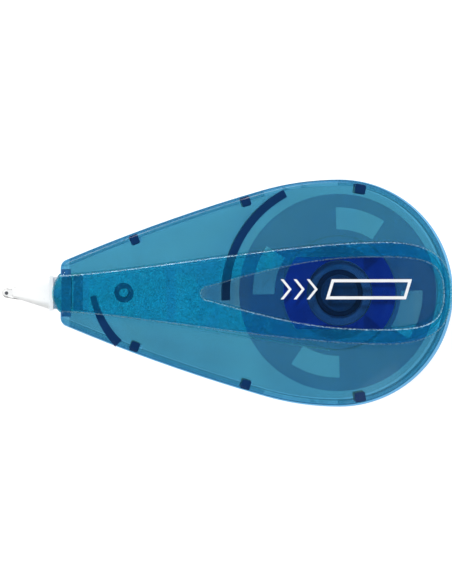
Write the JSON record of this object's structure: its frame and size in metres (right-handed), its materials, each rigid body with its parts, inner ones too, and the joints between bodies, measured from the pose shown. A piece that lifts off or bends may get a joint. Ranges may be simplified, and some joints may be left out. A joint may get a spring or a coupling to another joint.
{
  "type": "correction tape dispenser",
  "caption": "Teardrop hand-held correction tape dispenser with a clear two-part shell, coaxial supply and take-up spools and a roller tip.",
  "frame": {"origin": "centre of the bounding box at the rear face it lies on", "axes": "+X towards the round end, the applicator tip at -X, +Z through the thickness towards the front face"},
  "size_m": [0.09, 0.0452, 0.016],
  "materials": {
    "shell": "clear teal moulding",
    "grip_band": "frosted teal blue with fine glitter",
    "window": "clear polished blue",
    "white_plastic": "white moulding",
    "roller": "smooth acetal",
    "pin_steel": "ground pin",
    "spool_navy": "navy moulding",
    "tape_white": "white coated film",
    "used_ribbon": "cleared carrier film",
    "clutch_rubber": "soft friction ring",
    "clutch_plastic": "push-on ring",
    "takeup_teal": "translucent teal moulding",
    "plate_blue": "royal blue moulding"
  },
  "bodies": {
    "casing": {"front_shell": "shell", "rear_shell": "shell", "front_grip_band": "grip_band", "rear_grip_band": "grip_band", "front_window": "window", "rear_window": "window", "applicator": "white_plastic", "roller_pin": "pin_steel", "bearing_plate": "plate_blue", "outgoing_ribbon": "tape_white", "return_ribbon": "used_ribbon", "tip_ribbon": "tape_white"},
    "supply": {"supply_spool": "spool_navy", "hub_cap": "spool_navy", "supply_core": "spool_navy", "supply_tape": "tape_white", "clutch_ring": "clutch_rubber", "clutch_collar": "clutch_plastic"},
    "takeup": {"takeup_spool": "takeup_teal", "takeup_ribbon": "used_ribbon"},
    "roller": {"tip_roller": "roller"}
  },
  "joints": [
    {"name": "supply_spin", "type": "hinge", "parent": "casing", "child": "supply", "pos_m": [0.02235, 0, 0.005], "axis": [0, 0, 1], "continuous": true},
    {"name": "takeup_spin", "type": "hinge", "parent": "casing", "child": "takeup", "pos_m": [0.02235, 0, 0.008], "axis": [0, 0, 1], "continuous": true},
    {"name": "tip_roller_spin", "type": "hinge", "parent": "casing", "child": "roller", "pos_m": [-0.04405, 0, 0.008], "axis": [0, 0, 1], "continuous": true}
  ],
  "couplings": [
    {"joint": "takeup_spin", "follows": "supply_spin", "ratio": 0.814},
    {"joint": "tip_roller_spin", "follows": "supply_spin", "ratio": 10.37}
  ]
}
